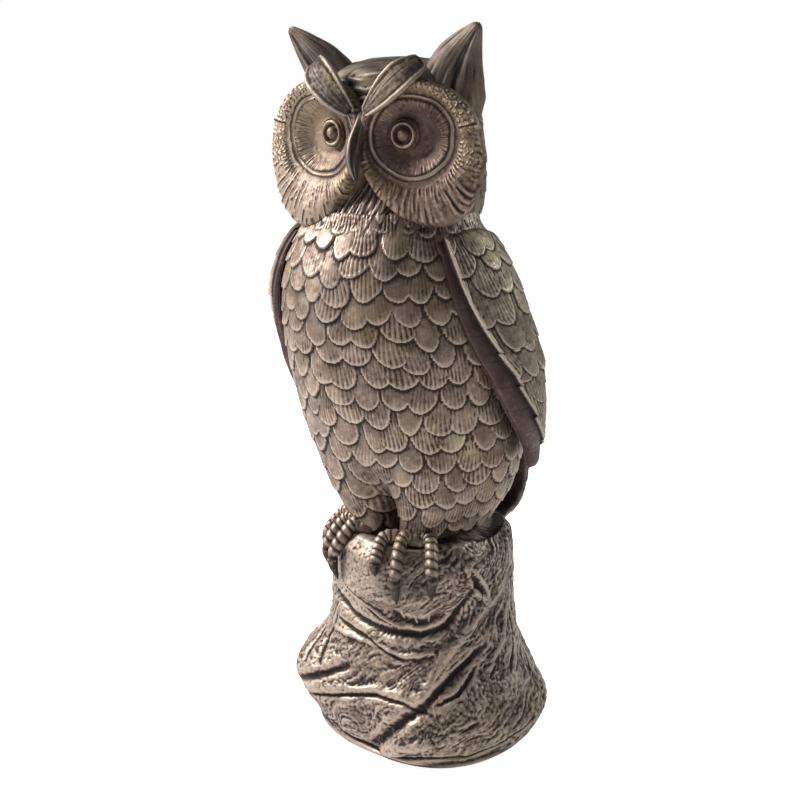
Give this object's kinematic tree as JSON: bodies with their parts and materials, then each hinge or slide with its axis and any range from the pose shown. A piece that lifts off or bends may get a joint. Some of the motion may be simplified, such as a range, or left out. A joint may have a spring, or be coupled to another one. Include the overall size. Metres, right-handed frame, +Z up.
{
  "type": "owl figurine",
  "caption": "Standing owl on a tree stump, cast in sections with an antiqued bronze finish, that rests on a flat padded base.",
  "frame": {"origin": "on the ground, below the middle of the figure's outer box", "axes": "+Z up the figure, -Y the way the owl faces, +X the owl's left"},
  "size_m": [0.15, 0.1394, 0.38],
  "materials": {
    "body_bronze": "antiqued bronze-effect paint over cast resin, satin with dry-brushed highlights",
    "dark_bronze": "dark purple-brown bronze-effect paint over cast resin, satin",
    "pale_bronze": "bronze-effect paint over cast resin, more heavily dry-brushed",
    "bark_bronze": "antiqued bronze-effect paint over cast resin bark, satin",
    "foam": "rigid foam, hidden inside the castings",
    "ballast_fill": "sand and cement fill, hidden",
    "rod_steel": "plain steel rod, hidden",
    "base_rubber": "black moulded rubber",
    "felt": "dense felt"
  },
  "bodies": {
    "root": {"stump": "bark_bronze", "base_plate": "base_rubber", "filler_plug": "base_rubber", "ballast": "ballast_fill", "foot_pad_1": "felt", "foot_pad_2": "felt", "foot_pad_3": "felt", "foot_pad_4": "felt", "body": "body_bronze", "body_core": "foam", "head": "body_bronze", "head_core": "foam", "left_face_disc": "body_bronze", "right_face_disc": "body_bronze", "left_eye": "dark_bronze", "right_eye": "dark_bronze", "beak": "dark_bronze", "left_brow": "pale_bronze", "right_brow": "pale_bronze", "left_ear_tuft": "body_bronze", "right_ear_tuft": "body_bronze", "left_wing": "body_bronze", "right_wing": "body_bronze", "left_wing_peg": "rod_steel", "right_wing_peg": "rod_steel", "tail": "dark_bronze", "left_foot": "pale_bronze", "right_foot": "pale_bronze", "left_leg_rod": "rod_steel", "right_leg_rod": "rod_steel"}
  },
  "joints": []
}
